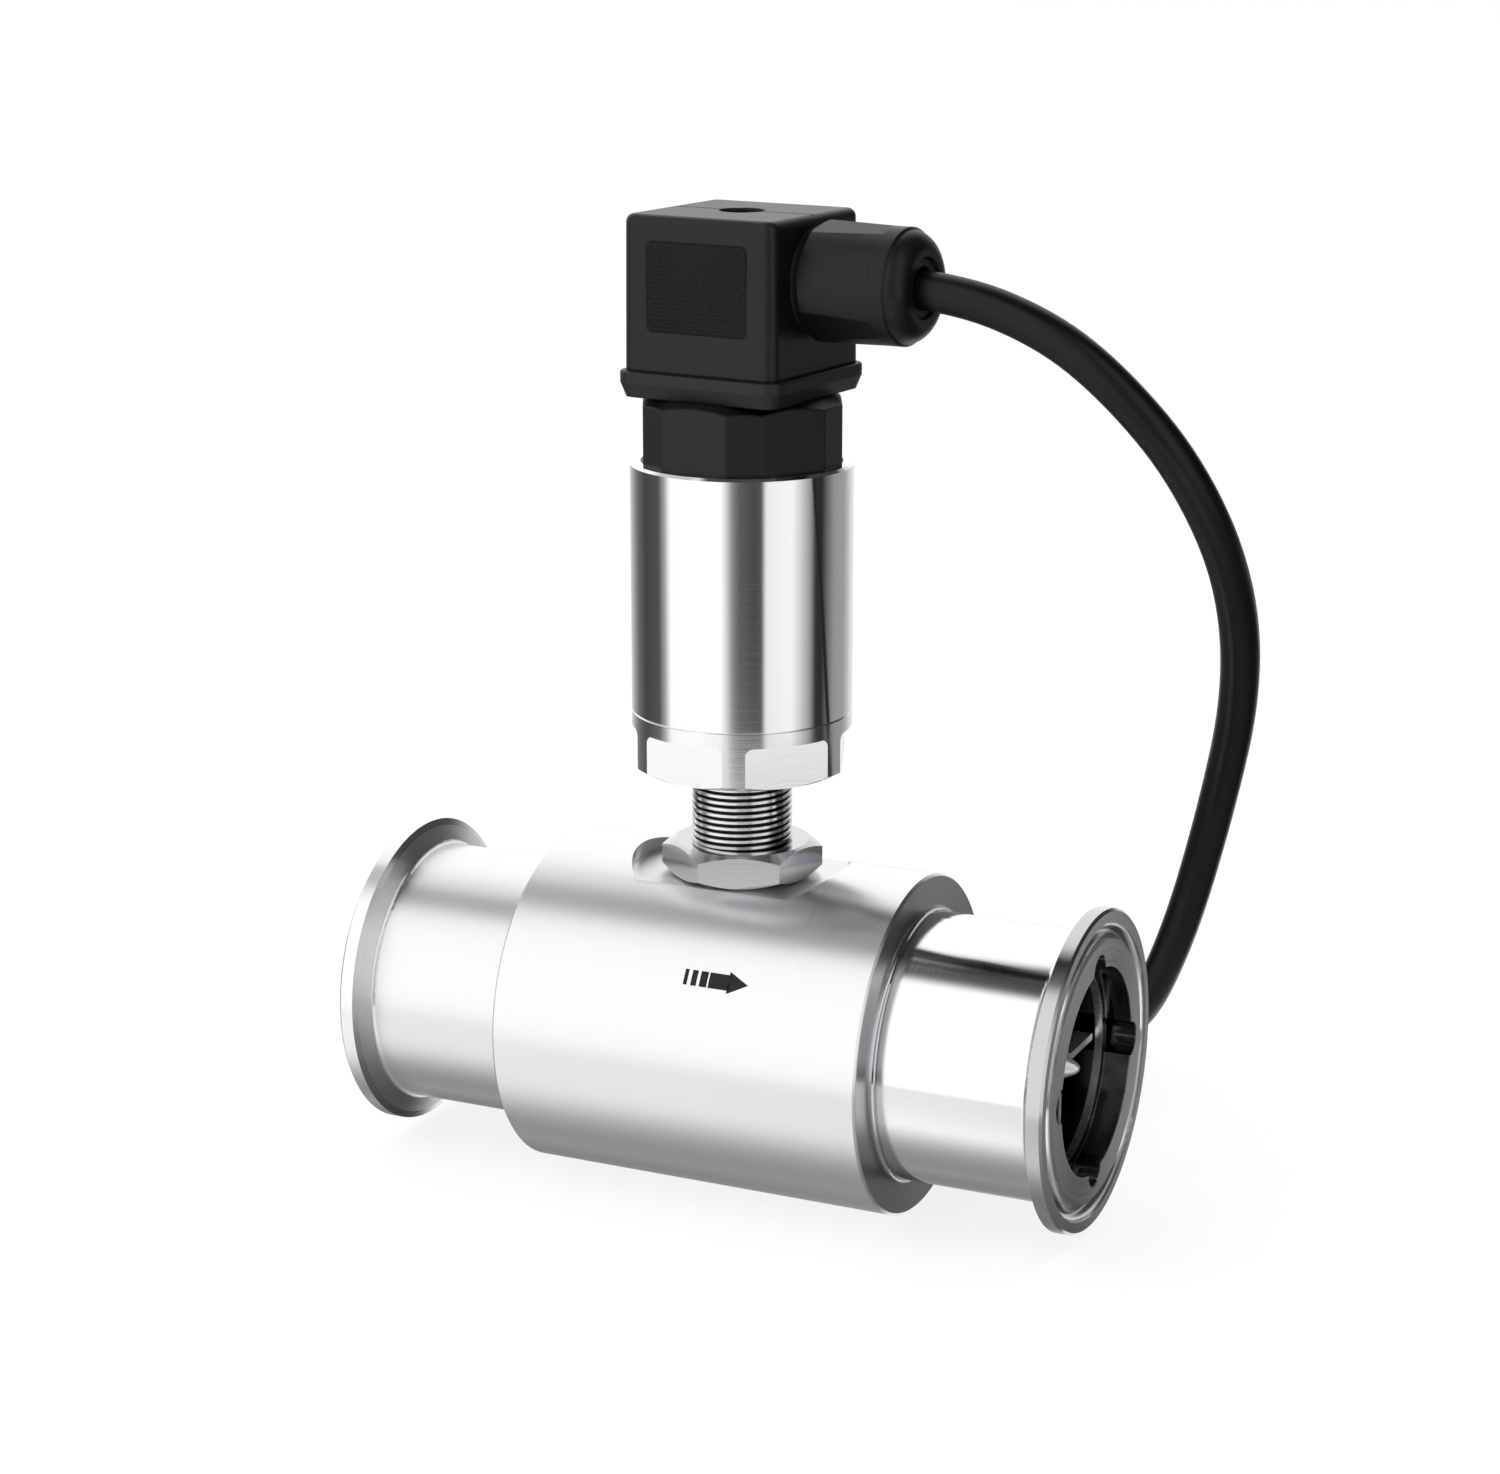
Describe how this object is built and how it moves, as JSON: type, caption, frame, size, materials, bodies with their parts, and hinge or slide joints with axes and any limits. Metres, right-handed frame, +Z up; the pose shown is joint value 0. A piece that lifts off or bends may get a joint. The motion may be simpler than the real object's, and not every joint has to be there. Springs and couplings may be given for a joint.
{
  "type": "turbine flow meter",
  "caption": "Hygienic turbine flow meter: a turned body with clamp ends and a bladed rotor, under a screwed pickup with a square plug connector and a cable.",
  "frame": {"origin": "middle of the inlet clamp face, on the flow axis", "axes": "+X along the flow, from the inlet to the outlet; +Z up along the pickup; the drum is 27 mm in radius round X"},
  "size_m": [0.1539, 0.1431, 0.1555],
  "materials": {
    "body_steel": "fine turned",
    "housing_steel": "polished",
    "base_steel": "turned and milled",
    "nut_steel": "turned",
    "vane_steel": "satin",
    "rotor_steel": "satin",
    "shaft_carbide": "ground",
    "ring_steel": "bright",
    "screw_steel": "zinc plated",
    "pole_iron": "plain",
    "magnet": "nickel plated",
    "coil_copper": "enamelled",
    "contact_brass": "tinned",
    "bobbin_plastic": "moulded",
    "black_plastic": "matte moulded",
    "gland_plastic": "satin moulded",
    "black_rubber": "matte",
    "board": "solder mask",
    "chip_black": "matte",
    "capacitor_can": "satin",
    "trimmer_blue": "gloss",
    "cable_jacket": "satin",
    "core_insulation": "gloss",
    "tie_plastic": "satin"
  },
  "bodies": {
    "meter": {"meter_body": "body_steel", "inlet_snap_ring": "ring_steel", "outlet_snap_ring": "ring_steel", "inlet_straightener": "vane_steel", "outlet_straightener": "vane_steel", "inlet_bush": "shaft_carbide", "outlet_bush": "shaft_carbide", "pickup_body": "base_steel", "locknut": "nut_steel", "pole_pin": "pole_iron", "coil_bobbin": "bobbin_plastic", "coil_winding": "coil_copper", "bias_magnet": "magnet", "housing_seal": "black_rubber", "connector_seal": "black_rubber", "housing_tube": "housing_steel", "amplifier_board": "board", "board_chips": "chip_black", "filter_capacitor": "capacitor_can", "gain_trimmer": "trimmer_blue", "connector_base": "black_plastic", "contact_blades": "contact_brass", "flange_gasket": "black_rubber", "plug_housing": "black_plastic", "terminal_insert": "black_plastic", "terminal_screws": "screw_steel", "fixing_screw": "screw_steel", "screw_washer": "black_rubber", "gland_seal": "black_rubber", "gland_washer": "black_plastic", "gland_nut": "gland_plastic", "cable": "cable_jacket", "cable_coil": "cable_jacket", "cable_tail": "cable_jacket", "bared_cores": "core_insulation", "coil_tie": "tie_plastic"},
    "rotor": {"rotor": "rotor_steel", "rotor_shaft": "shaft_carbide"}
  },
  "joints": [
    {"name": "rotor_spin", "type": "hinge", "parent": "meter", "child": "rotor", "pos_m": [0.06, 0, 0], "axis": [1, 0, 0], "continuous": true}
  ]
}
